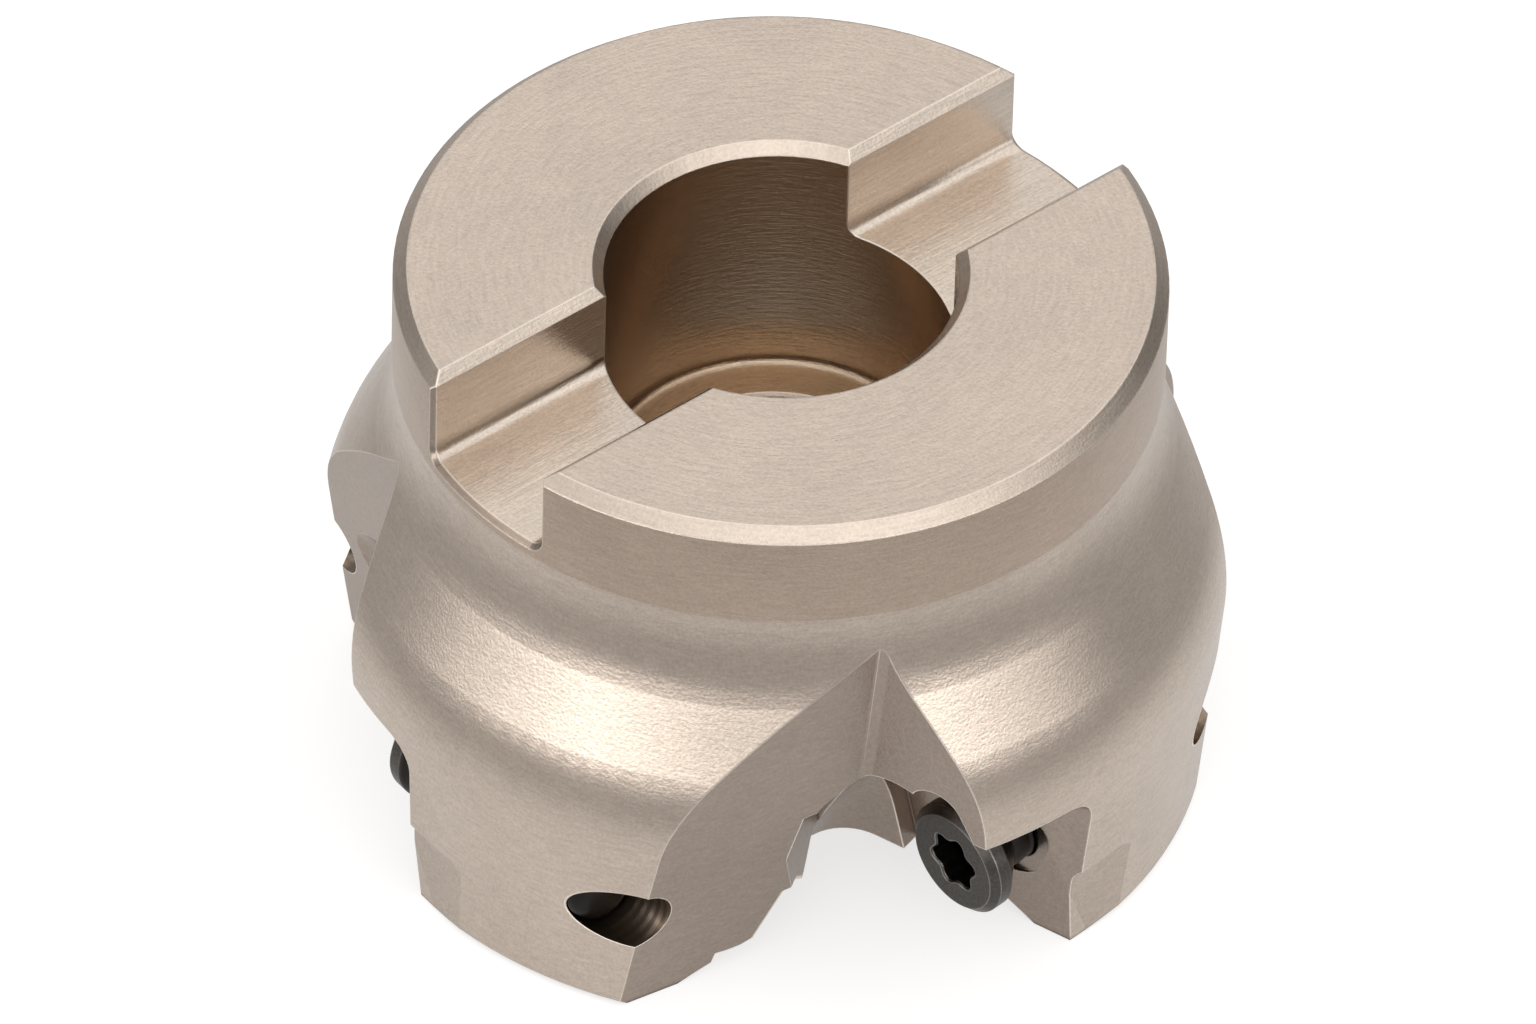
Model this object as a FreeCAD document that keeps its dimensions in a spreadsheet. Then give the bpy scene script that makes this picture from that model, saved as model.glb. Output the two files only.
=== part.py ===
import FreeCAD, Part
import math
import os
import Sketcher

# Indexable shell mill, four teeth, right-hand cutting, parked without its inserts.
# Millimetres. The spindle axis is Z. The tooth tips stand on Z = 0 and the spindle face
# is on top. The drive slot runs along X.

Vector = FreeCAD.Vector
Rotation = FreeCAD.Rotation
Placement = FreeCAD.Placement
AXIS_X = Vector(1, 0, 0)
AXIS_Y = Vector(0, 1, 0)
AXIS_Z = Vector(0, 0, 1)
UPRIGHT = Rotation()
# Two places closer than this are one place.
TOUCH = 1e-4

# Driving dimensions: name, value, what it is.
DIMENSIONS = [
    # Turned blank, outside. Depths run down from the spindle face.
    ("body_height", 38.7, "spindle face to tooth tips"),
    ("hub_diameter", 48.0, "spindle-side disc"),
    ("hub_depth", 7.3, "straight length of the disc"),
    ("hub_chamfer", 0.85, "outer chamfer of the spindle face"),
    ("neck_inset", 0.35, "how far the neck lies inside the disc"),
    ("flare_top_depth", 11.4, "where the neck turns into the flare"),
    ("flare_foot_depth", 21.4, "where the flare turns into the skirt"),
    ("skirt_diameter", 57.3, "across the shoulder before it is rounded"),
    ("foot_diameter", 54.9, "across the tooth tips"),
    ("neck_round", 12.0, "hollow radius between neck and flare"),
    ("shoulder_round", 12.0, "radius between flare and skirt"),
    ("foot_chamfer", 0.45, "bevel along the lower rim"),
    # Turned blank, inside and below.
    ("bore_diameter", 22.0, "arbor pilot bore"),
    ("bore_depth", 18.1, "pilot bore below the spindle face"),
    ("bore_chamfer", 0.7, "lead-in of the pilot bore"),
    ("bore_floor_round", 0.6, "corner radius at the bore floor"),
    ("passage_diameter", 15.8, "way through for the arbor screw"),
    ("passage_chamfer", 0.25, "broken edge of the way through"),
    ("screw_recess_diameter", 21.0, "recess for the arbor screw head"),
    ("web_thickness", 9.0, "metal between bore floor and screw recess"),
    ("dish_depth", 3.3, "hollow of the lower face"),
    ("dish_diameter", 39.0, "flat floor of that hollow"),
    ("foot_land", 3.0, "flat rim that the tips stand on"),
    # Drive slot.
    ("slot_width", 10.4, "for the arbor drive keys"),
    ("slot_depth", 6.4, "below the spindle face"),
    ("slot_chamfer", 0.6, "broken edges of the slot on the spindle face"),
    ("slot_mouth_chamfer", 0.35, "broken edges of its two mouths"),
    ("slot_floor_round", 0.8, "radius between slot wall and floor"),
    # Teeth. Angles are in degrees, seen from the spindle side.
    ("tooth_count", 4, "cutting teeth"),
    ("first_tooth_angle", 177.8, "leading tip of the first tooth"),
    ("wide_pitch", 97.2, "first to second tooth, the others share the rest"),
    ("tooth_span", 33.2, "leading tip to trailing tip"),
    ("radial_rake", 12.4, "insert seat against the radius"),
    ("axial_rake", 6.5, "insert seat against the axis"),
    ("chip_face_offset", 5.0, "chip face in front of the insert seat"),
    ("wide_chip_face_offset", 6.35, "the same after the wide pitch, tooth 2"),
    ("trailing_angle", 82.6, "way that the back of a tooth faces"),
    ("trailing_lean", 10.4, "how far that back faces down"),
    ("gullet_round", 0.8, "radius in the valley of a gullet"),
    # Insert pocket, measured on the seat from the tooth's leading tip.
    ("hole_inset", 5.2, "screw hole inward of the tip"),
    ("hole_height", 7.8, "screw hole above the tip"),
    ("seat_ceiling", 12.1, "top of the pocket at the rim"),
    ("seat_wall_inset", 2.0, "where that ceiling turns into the sloping wall"),
    ("seat_wall_angle", 61.0, "slope of that wall"),
    ("corner_relief_inset", 5.6, "relief for the insert's upper corner"),
    ("corner_relief_height", 15.4, "height of that relief"),
    ("corner_relief_radius", 1.9, "size of that relief"),
    ("dome_inset", 8.7, "round top of the pocket's inner end"),
    ("dome_height", 12.2, "height of its centre"),
    ("dome_radius", 4.3, "its radius"),
    ("seat_foot_inset", 10.5, "inner end of the seat at the tips"),
    ("chip_space_inset", 20.0, "inner corner of the chip space"),
    ("chip_space_front", 1.5, "chip space in front of the seat"),
    ("chip_space_outlet", 6.8, "outer end of its ceiling, inward of the tip"),
    ("chip_space_angle", 57.0, "opening angle of the chip space"),
    ("chip_space_lean", 20.0, "how far its outer side leans in towards the top"),
    ("chip_space_height", 15.6, "its height above the tips"),
    ("chip_space_round", 3.2, "its corner radius"),
    ("heel_round", 4.5, "round lower edge of a tooth beside the chip space"),
    ("heel_height", 1.9, "lowest point of that round"),
    ("scoop_inset", 0.8, "inner end of the rim relief"),
    ("scoop_height", 5.8, "height of that end"),
    ("scoop_ceiling", 13.3, "top of the rim relief"),
    ("scoop_facing", 73.0, "way the relief faces, from the seat's outward line"),
    ("scoop_lift", 7.0, "how far it faces up"),
    ("scoop_reach", 7.0, "how far the relief cutter stands in front"),
    ("scoop_round", 2.0, "corner radius of the rim relief"),
    ("corner_flat_width", 4.0, "flat behind the lower cutting corner"),
    ("corner_flat_height", 6.8, "height of that flat"),
    ("corner_flat_angle", 1.5, "way it faces, ahead of the leading tip"),
    ("corner_flat_lean", 3.0, "how far it leans out"),
    ("corner_flat_round", 1.2, "corner radius above it"),
    # Insert screws, backed out from the seat by different amounts.
    ("screw_angle", 89.0, "screw axis against the tooth's radius"),
    ("screw_rise", 1.5, "how far the screw axis rises"),
    ("thread_diameter", 4.6, "screw thread"),
    ("thread_clearance", 0.06, "radial gap in the hole"),
    ("counterbore_diameter", 6.9, "recess round the hole on the seat"),
    ("counterbore_depth", 0.8, "depth of that recess on the axis"),
    ("head_diameter", 7.7, "screw head"),
    ("head_rim", 0.9, "straight side of the head"),
    ("head_bevel", 0.5, "bevel on the face of the head"),
    ("head_cone", 1.7, "tapered underside of the head"),
    ("screw_1_standoff", 2.9, "head face of the first screw in front of the seat"),
    ("screw_2_standoff", 4.2, "the same for the second screw"),
    ("screw_3_standoff", 3.6, "the same for the third screw"),
    ("screw_4_standoff", 3.0, "the same for the fourth screw"),
    ("screw_length", 18.2, "head face to bevelled end"),
    ("screw_end_bevel", 1.1, "bevelled end of the thread"),
    ("socket_diameter", 4.6, "across the six lobes"),
    ("socket_lobe", 0.75, "radius of a lobe"),
    ("socket_depth", 2.0, "drive socket"),
]

doc = FreeCAD.newDocument("shell_mill")
sheet = doc.addObject("Spreadsheet::Sheet", "sizes")
for row, (name, value, note) in enumerate(DIMENSIONS, start=1):
    sheet.set(f"A{row}", name)
    sheet.set(f"B{row}", str(value))
    sheet.set(f"C{row}", note)
    sheet.setAlias(f"B{row}", name)
doc.recompute()


def size(name):
    """The value of a named cell."""
    return float(sheet.get(name))


def bind(thing, prop, expression):
    """Tie a property to cells: names in square brackets are cells."""
    thing.setExpression(prop, expression.replace("[", "sizes.").replace("]", ""))


def origin_plane(body, role):
    return next(plane for plane in body.Origin.OriginFeatures if plane.Role == role)


def outline_sketch(sketch, corners):
    """Closed outline of straight lines. Each corner is a pair of expressions."""
    count = len(corners)
    guess = [(value_of(across), value_of(up)) for across, up in corners]
    for index in range(count):
        start = Vector(*guess[index], 0)
        end = Vector(*guess[(index + 1) % count], 0)
        sketch.addGeometry(Part.LineSegment(start, end), False)
    for index in range(count):
        sketch.addConstraint(
            Sketcher.Constraint("Coincident", index, 2, (index + 1) % count, 1))
    for index, corner in enumerate(corners):
        for kind, expression in zip(("DistanceX", "DistanceY"), corner):
            place_corner(sketch, index, kind, expression)


def place_corner(sketch, index, kind, expression):
    value = value_of(expression)
    if abs(value) < TOUCH:
        axis = -2 if kind == "DistanceX" else -1
        sketch.addConstraint(Sketcher.Constraint("PointOnObject", index, 1, axis))
        return
    ends = (-1, 1, index, 1)
    if value < 0:
        ends = (index, 1, -1, 1)
        expression = f"-({expression})"
    number = sketch.addConstraint(Sketcher.Constraint(kind, *ends, abs(value)))
    bind(sketch, f"Constraints[{number}]", expression)


def value_of(expression):
    """Number for an expression whose cells are in square brackets."""
    probe = doc.addObject("App::FeaturePython", "probe")
    probe.addProperty("App::PropertyFloat", "number")
    bind(probe, "number", expression)
    probe.recompute()
    number = probe.number
    doc.removeObject(probe.Name)
    return number


def circle_edges(shape, radius, height):
    """Names of the full circles of that radius and height round the spindle axis."""
    names = []
    for number, edge in enumerate(shape.Edges, start=1):
        curve = edge.Curve
        if not isinstance(curve, Part.Circle):
            continue
        if abs(curve.Radius - radius) < TOUCH and abs(curve.Center.z - height) < TOUCH:
            names.append(f"Edge{number}")
    return names


def line_edges(shape, direction, test):
    """Names of the straight edges along a direction whose middle passes the test."""
    names = []
    for number, edge in enumerate(shape.Edges, start=1):
        if not isinstance(edge.Curve, Part.Line):
            continue
        if edge.Curve.Direction.cross(direction).Length > TOUCH:
            continue
        middle = (edge.Vertexes[0].Point + edge.Vertexes[-1].Point) * 0.5
        if test(middle):
            names.append(f"Edge{number}")
    return names


def dress(body, kind, label, base, edges, expression):
    """A PartDesign fillet or chamfer on named edges of the last feature."""
    feature = body.newObject(f"PartDesign::{kind}", label)
    feature.Base = (base, edges)
    bind(feature, "Radius" if kind == "Fillet" else "Size", expression)
    doc.recompute()
    return feature


def revolved(body, label, corners):
    sketch = body.newObject("Sketcher::SketchObject", f"{label}_outline")
    sketch.AttachmentSupport = [(origin_plane(body, "XZ_Plane"), "")]
    sketch.MapMode = "FlatFace"
    outline_sketch(sketch, corners)
    turned = body.newObject("PartDesign::Revolution", label)
    turned.Profile = sketch
    turned.ReferenceAxis = (sketch, ["V_Axis"])
    turned.Angle = 360
    doc.recompute()
    return turned


def neck_radius():
    """The hollow round of the neck, no larger than the straight neck above it leaves room for."""
    run = "([skirt_diameter] / 2 - [hub_diameter] / 2 + [neck_inset])"
    rise = "([flare_foot_depth] - [flare_top_depth])"
    wall = "([flare_top_depth] - [hub_depth] - [neck_inset])"
    return f"min([neck_round]; 0.95 * {wall} / tan(atan({run} / {rise}) / 2))"


def make_blank():
    """The turned blank with its bore, and the drive slot milled across the hub."""
    body = doc.addObject("PartDesign::Body", "blank")
    corners = [
        ("[passage_diameter] / 2", "[body_height] - [bore_depth] - [web_thickness]"),
        ("[passage_diameter] / 2", "[body_height] - [bore_depth]"),
        ("[bore_diameter] / 2", "[body_height] - [bore_depth]"),
        ("[bore_diameter] / 2", "[body_height]"),
        ("[hub_diameter] / 2", "[body_height]"),
        ("[hub_diameter] / 2", "[body_height] - [hub_depth]"),
        ("[hub_diameter] / 2 - [neck_inset]", "[body_height] - [hub_depth] - [neck_inset]"),
        ("[hub_diameter] / 2 - [neck_inset]", "[body_height] - [flare_top_depth]"),
        ("[skirt_diameter] / 2", "[body_height] - [flare_foot_depth]"),
        ("[foot_diameter] / 2", "0"),
        ("[foot_diameter] / 2 - [foot_land]", "0"),
        ("[dish_diameter] / 2", "[dish_depth]"),
        ("[screw_recess_diameter] / 2", "[dish_depth]"),
        ("[screw_recess_diameter] / 2", "[body_height] - [bore_depth] - [web_thickness]"),
    ]
    feature = revolved(body, "turned_blank", corners)

    top = size("body_height")
    floor = top - size("bore_depth")
    hub = size("hub_diameter") / 2
    bore = size("bore_diameter") / 2
    rounds = [
        ("neck_round", hub - size("neck_inset"), top - size("flare_top_depth"), neck_radius()),
        ("shoulder_round", size("skirt_diameter") / 2, top - size("flare_foot_depth"),
         "[shoulder_round]"),
        ("bore_floor_round", bore, floor, "[bore_floor_round]"),
    ]
    for name, radius, height, expression in rounds:
        edges = circle_edges(feature.Shape, radius, height)
        feature = dress(body, "Fillet", name + "_fillet", feature, edges, expression)
    bevels = [
        ("hub_chamfer", hub, top),
        ("bore_chamfer", bore, top),
        ("passage_chamfer", size("passage_diameter") / 2, floor),
        ("foot_chamfer", size("foot_diameter") / 2, 0.0),
    ]
    for name, radius, height in bevels:
        edges = circle_edges(feature.Shape, radius, height)
        feature = dress(body, "Chamfer", name + "_bevel", feature, edges, f"[{name}]")
    return mill_slot(body, feature)


def mill_slot(body, feature):
    sketch = body.newObject("Sketcher::SketchObject", "slot_outline")
    sketch.AttachmentSupport = [(origin_plane(body, "YZ_Plane"), "")]
    sketch.MapMode = "FlatFace"
    half = "[slot_width] / 2"
    floor = "[body_height] - [slot_depth]"
    brow = "[body_height] - [slot_chamfer]"
    wide = "[slot_width] / 2 + 2 * [slot_chamfer]"
    above = "[body_height] + [slot_chamfer]"
    outline_sketch(sketch, [
        (f"-{half}", floor), (half, floor), (half, brow), (wide, above),
        (f"-({wide})", above), (f"-{half}", brow)])
    slot = body.newObject("PartDesign::Pocket", "drive_slot")
    slot.Profile = sketch
    slot.Type = "ThroughAll"
    slot.Midplane = True
    doc.recompute()

    wall = size("slot_width") / 2
    depth = size("body_height") - size("slot_depth")

    def at_foot_of_wall(point):
        return abs(abs(point.y) - wall) < TOUCH and abs(point.z - depth) < TOUCH

    edges = line_edges(slot.Shape, AXIS_X, at_foot_of_wall)
    rounded = dress(body, "Fillet", "slot_floor_fillet", slot, edges, "[slot_floor_round]")
    hub = size("hub_diameter") / 2

    def at_mouth(point):
        return abs(abs(point.y) - wall) < TOUCH and math.hypot(point.x, point.y) > hub - TOUCH

    edges = line_edges(rounded.Shape, AXIS_Z, at_mouth)
    return dress(body, "Chamfer", "slot_mouth_bevel", rounded, edges, "[slot_mouth_chamfer]")


def turn(axis, degrees):
    return Rotation(axis, degrees)


def tooth_angles():
    """Leading tips, counter-clockwise seen from the spindle side."""
    count = int(size("tooth_count"))
    narrow = (360.0 - size("wide_pitch")) / (count - 1)
    angles = [size("first_tooth_angle")]
    for step in range(count - 1):
        angles.append(angles[-1] + (size("wide_pitch") if step == 0 else narrow))
    return angles


def tip_point(angle):
    radius = size("foot_diameter") / 2
    return turn(AXIS_Z, angle).multVec(Vector(radius, 0, 0))


def seat_frame(angle):
    """Origin on the tip, X outward along the insert seat, Y into the tooth, Z up."""
    lean = turn(AXIS_Z, angle + size("radial_rake")) * turn(AXIS_X, size("axial_rake"))
    return Placement(tip_point(angle), lean)


def back_frame(angle):
    """Origin on the trailing tip, Z out of the back of the tooth."""
    faces = turn(AXIS_Z, angle + size("trailing_angle"))
    faces = faces * turn(AXIS_Y, 90 + size("trailing_lean"))
    return Placement(tip_point(angle + size("tooth_span")), faces)


def screw_frame(angle):
    """Origin where the screw axis meets the seat, Z along the axis into the tooth."""
    spot = Vector(-size("hole_inset"), 0, size("hole_height"))
    faces = turn(AXIS_Z, angle + size("screw_angle"))
    faces = faces * turn(AXIS_Y, 90 - size("screw_rise"))
    return Placement(seat_frame(angle).multVec(spot), faces)


def block(label, frame, low, high):
    """A box between two corners given in a frame."""
    box = doc.addObject("Part::Box", label)
    box.Length = high[0] - low[0]
    box.Width = high[1] - low[1]
    box.Height = high[2] - low[2]
    box.Placement = frame * Placement(Vector(*low), UPRIGHT)
    return box


def rod(label, frame, base, axis_turn, radius, length):
    """A cylinder that starts at a point of a frame."""
    cylinder = doc.addObject("Part::Cylinder", label)
    bind(cylinder, "Radius", radius)
    cylinder.Height = length
    cylinder.Placement = frame * Placement(Vector(*base), axis_turn)
    return cylinder


def prism(label, frame, corners, length):
    """An outline in a frame's XY plane, extruded along its Z."""
    sketch = doc.addObject("Sketcher::SketchObject", f"{label}_outline")
    outline_sketch(sketch, corners)
    sketch.Placement = frame
    solid = doc.addObject("Part::Extrusion", label)
    solid.Base = sketch
    solid.DirMode = "Normal"
    solid.LengthFwd = length
    solid.Solid = True
    return solid


def rounded(label, base, radius, wanted):
    """Fillet on the edges of a cutter that pass a test on their two ends."""
    doc.recompute()
    value = value_of(radius)
    edges = []
    for number, edge in enumerate(base.Shape.Edges, start=1):
        ends = [vertex.Point for vertex in edge.Vertexes]
        if wanted(ends):
            edges.append((number, value, value))
    solid = doc.addObject("Part::Fillet", label)
    solid.Base = base
    solid.Edges = edges
    return solid


def reach():
    """Longer than anything that a cutter has to pass through."""
    return size("skirt_diameter") * 0.55


def chip_step(number):
    """The gullet after the wide pitch is wider than the others."""
    return size("wide_chip_face_offset" if number == 2 else "chip_face_offset")


def gullet(number, back_angle, face_angle):
    """The V between the back of one tooth and the chip face of the next."""
    back = back_frame(back_angle)
    face = seat_frame(face_angle)
    step = chip_step(number)
    far = reach()
    behind = block(f"behind_tooth_{number}", back, (-far, -far, 0), (far, far, far))
    ahead = block(f"chip_side_{number}", face, (-far, -step - far, -far), (far, -step, far))
    valley = doc.addObject("Part::Common", f"gullet_sharp_{number}")
    valley.Base = behind
    valley.Tool = ahead

    def in_valley(ends):
        on_back = all(abs(back.inverse().multVec(end).z) < TOUCH for end in ends)
        on_face = all(abs(face.inverse().multVec(end).y + step) < TOUCH for end in ends)
        return on_back and on_face

    return rounded(f"gullet_{number}", valley, "[gullet_round]", in_valley)


def seat_cut(number, frame):
    """Room for the insert. The seat is the frame's XZ plane, with round upper corners."""
    outlet = "[foot_diameter] / 2"
    below = "-[body_height] / 10"
    relief_x = "[corner_relief_radius] * sin([seat_wall_angle]) - [corner_relief_inset]"
    relief_z = "[corner_relief_radius] * cos([seat_wall_angle]) + [corner_relief_height]"
    solid = prism(f"seat_{number}", frame * Placement(Vector(), turn(AXIS_X, 90)), [
        (outlet, below),
        (outlet, "[seat_ceiling]"),
        ("-[seat_wall_inset]", "[seat_ceiling]"),
        (relief_x, relief_z),
        ("-[corner_relief_inset]", "[corner_relief_height]"),
        ("-[dome_inset]", "[dome_height] + [dome_radius] / 2"),
        ("-[dome_inset] - [dome_radius]", "[dome_height]"),
        ("-[seat_foot_inset]", below),
    ], reach())
    outward = turn(AXIS_X, 90)
    spot = (-size("corner_relief_inset"), 0, size("corner_relief_height"))
    relief = rod(f"corner_relief_{number}", frame, spot, outward,
                 "[corner_relief_radius]", reach())
    spot = (-size("dome_inset"), 0, size("dome_height"))
    dome = rod(f"dome_{number}", frame, spot, outward, "[dome_radius]", reach())
    return [solid, relief, dome]


def chip_space(number, frame):
    """Free room in front of the seat, open below, whose outer side leans in as it rises."""
    height = size("chip_space_height")
    front = size("chip_space_front")
    side = side_frame(frame)
    far = reach()
    room = block(f"chip_room_{number}", frame, (-far, -far, -height),
                 (-size("chip_space_outlet"), -front, height))
    beside = block(f"chip_room_side_{number}", side, (-far, -far, 0), (far, far, far))
    space = doc.addObject("Part::Common", f"chip_space_sharp_{number}")
    space.Base = room
    space.Tool = beside

    def in_corner(ends):
        in_front = all(abs(frame.inverse().multVec(end).y + front) < TOUCH for end in ends)
        at_side = all(abs(side.inverse().multVec(end).z) < TOUCH for end in ends)
        return in_front and at_side

    return rounded(f"chip_space_{number}", space, "[chip_space_round]", in_corner)


def side_frame(frame):
    """Origin at the foot of the chip space's inner corner, Z off its outer side, X down."""
    corner = Vector(-size("chip_space_inset"), -size("chip_space_front"), size("dish_depth"))
    faces = turn(AXIS_Z, 90 - size("chip_space_angle"))
    faces = faces * turn(AXIS_Y, 90 + size("chip_space_lean"))
    return frame * Placement(corner, faces)


def heel_round(number, frame):
    """Takes the sharp edge off the lower inner corner of the tooth ahead."""
    side = side_frame(frame)
    lean = math.radians(size("chip_space_lean"))
    radius = size("heel_round")
    low = (size("dish_depth") - size("heel_height")) / math.cos(lean)
    far = reach()
    corner = block(f"heel_block_{number}", side, (low - radius, -far, -radius), (far, far, 0))
    edge = rod(f"heel_rod_{number}", side, (low - radius, far, -radius), turn(AXIS_X, 90),
               "[heel_round]", 2 * far)
    heel = doc.addObject("Part::Cut", f"heel_{number}")
    heel.Base = corner
    heel.Tool = edge
    return heel


def rim_scoop(number, frame):
    """Slanting relief where the seat meets the rim, with a rounded top corner."""
    facing = turn(AXIS_Z, -size("scoop_facing")) * turn(AXIS_Y, 90 - size("scoop_lift"))
    spot = Vector(-size("scoop_inset"), 0, size("scoop_height"))
    local = frame * Placement(spot, facing)
    lift = math.radians(size("scoop_lift"))
    rise = (size("scoop_ceiling") - size("scoop_height")) / math.cos(lift)
    far = reach() / 2
    box = block(f"scoop_block_{number}", local,
                (-rise, -far, 0), (far, far, size("scoop_reach")))
    return rounded(f"rim_scoop_{number}", box, "[scoop_round]", under_ceiling(local, rise))


def under_ceiling(local, rise):
    """Test for the edge between a cutter's inner face and its ceiling."""
    def test(ends):
        points = [local.inverse().multVec(end) for end in ends]
        return all(abs(end.z) < TOUCH and abs(end.x + rise) < TOUCH for end in points)
    return test


def corner_flat(number, angle):
    """Flat on the rim behind the lower cutting corner."""
    foot = size("foot_diameter") / 2
    behind_tip = math.degrees(size("corner_flat_width") / foot)
    start = turn(AXIS_Z, angle + behind_tip).multVec(Vector(foot, 0, 0))
    facing = turn(AXIS_Z, angle - size("corner_flat_angle"))
    facing = facing * turn(AXIS_Y, 90 + size("corner_flat_lean"))
    height = size("corner_flat_height")
    local = Placement(start, facing)
    width = size("corner_flat_width")
    box = block(f"flat_block_{number}", local, (-height, -2 * width, 0), (width, width, width))
    return rounded(f"corner_flat_{number}", box, "[corner_flat_round]",
                   under_ceiling(local, height))


def screw_hole(number, angle):
    """Threaded hole through the tooth, with a shallow recess on the seat."""
    frame = screw_frame(angle)
    lead = size("counterbore_diameter") / 2
    hole = rod(f"screw_hole_{number}", frame, (0, 0, -lead), UPRIGHT,
               "[thread_diameter] / 2 + [thread_clearance]", reach())
    recess = rod(f"hole_recess_{number}", frame, (0, 0, -lead), UPRIGHT,
                 "[counterbore_diameter] / 2", lead + size("counterbore_depth"))
    return [hole, recess]


def make_cutter_body():
    """The whole cutter body: the blank less every gullet, pocket and hole."""
    blank = make_blank()
    angles = tooth_angles()
    cuts = []
    for index, angle in enumerate(angles):
        number = index + 1
        frame = seat_frame(angle)
        cuts.append(gullet(number, angles[index - 1], angle))
        cuts += seat_cut(number, frame)
        cuts.append(chip_space(number, frame))
        cuts.append(heel_round(number, frame))
        cuts.append(rim_scoop(number, frame))
        cuts.append(corner_flat(number, angle))
        cuts += screw_hole(number, angle)
    tools = doc.addObject("Part::MultiFuse", "milling")
    tools.Shapes = cuts
    body = doc.addObject("Part::Cut", "cutter_body")
    body.Label = "cutter_body"
    body.Base = blank
    body.Tool = tools
    doc.recompute()
    return body


def make_insert_screw(number, angle):
    """Countersunk screw with a six-lobed socket, head face at the origin of its body."""
    body = doc.addObject("PartDesign::Body", f"insert_screw_{number}")
    body.Label = f"insert_screw_{number}"
    rim = "[head_bevel] + [head_rim]"
    feature = revolved(body, f"screw_blank_{number}", [
        ("0", "0"),
        ("[head_diameter] / 2 - [head_bevel]", "0"),
        ("[head_diameter] / 2", "[head_bevel]"),
        ("[head_diameter] / 2", rim),
        ("[thread_diameter] / 2", f"{rim} + [head_cone]"),
        ("[thread_diameter] / 2", "[screw_length]"),
        ("0", "[screw_length]"),
    ])
    thread = size("thread_diameter") / 2
    edges = circle_edges(feature.Shape, thread, size("screw_length"))
    feature = dress(body, "Chamfer", f"screw_end_{number}", feature, edges,
                    "[screw_end_bevel]")
    socket = bored(body, f"socket_{number}", "0", "[socket_diameter] / 2 - [socket_lobe]")
    lobe = bored(body, f"lobe_{number}", "[socket_diameter] / 2 - [socket_lobe]",
                 "[socket_lobe]")
    ring = body.newObject("PartDesign::PolarPattern", f"lobes_{number}")
    ring.Originals = [lobe]
    ring.Axis = (origin_plane(body, "Z_Axis"), [""])
    ring.Angle = 360
    ring.Occurrences = 6
    body.Tip = ring
    along = Placement(Vector(0, 0, -size(f"screw_{number}_standoff")), UPRIGHT)
    body.Placement = screw_frame(angle) * along
    doc.recompute()
    return body


def bored(body, label, offset, radius):
    """Blind round pocket from the head face, its centre on the X axis."""
    sketch = body.newObject("Sketcher::SketchObject", f"{label}_outline")
    sketch.AttachmentSupport = [(origin_plane(body, "XY_Plane"), "")]
    sketch.MapMode = "FlatFace"
    centre = Vector(value_of(offset), 0, 0)
    circle = Part.Circle(centre, AXIS_Z, value_of(radius))
    sketch.addGeometry(circle, False)
    sketch.addConstraint(Sketcher.Constraint("PointOnObject", 0, 3, -1))
    place_centre(sketch, offset)
    number = sketch.addConstraint(Sketcher.Constraint("Radius", 0, value_of(radius)))
    bind(sketch, f"Constraints[{number}]", radius)
    pocket = body.newObject("PartDesign::Pocket", label)
    pocket.Profile = sketch
    pocket.Reversed = True
    bind(pocket, "Length", "[socket_depth]")
    doc.recompute()
    return pocket


def place_centre(sketch, offset):
    if value_of(offset) == 0:
        sketch.addConstraint(Sketcher.Constraint("PointOnObject", 0, 3, -2))
        return
    number = sketch.addConstraint(
        Sketcher.Constraint("DistanceX", -1, 1, 0, 3, value_of(offset)))
    bind(sketch, f"Constraints[{number}]", offset)


def check_document():
    """Stop when any object failed to build."""
    for thing in doc.Objects:
        if "Invalid" in thing.State or "Error" in thing.State:
            raise RuntimeError(f"{thing.Name} failed: {thing.State}")


def write_step(part):
    shape = part.Shape
    if shape.isNull() or not shape.isValid() or len(shape.Solids) != 1:
        raise RuntimeError(f"{part.Label} is not one valid solid")
    print(f"{part.Label}: {shape.Volume:.1f} mm3, {shape.BoundBox}")
    shape.exportStep(f"parts/{part.Label}.step")


subparts = [make_cutter_body()]
for index, angle in enumerate(tooth_angles(), start=1):
    subparts.append(make_insert_screw(index, angle))

doc.recompute()
check_document()
os.makedirs("parts", exist_ok=True)
for subpart in subparts:
    write_step(subpart)
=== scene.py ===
import math

import bpy
from mathutils import Matrix, Vector


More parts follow.
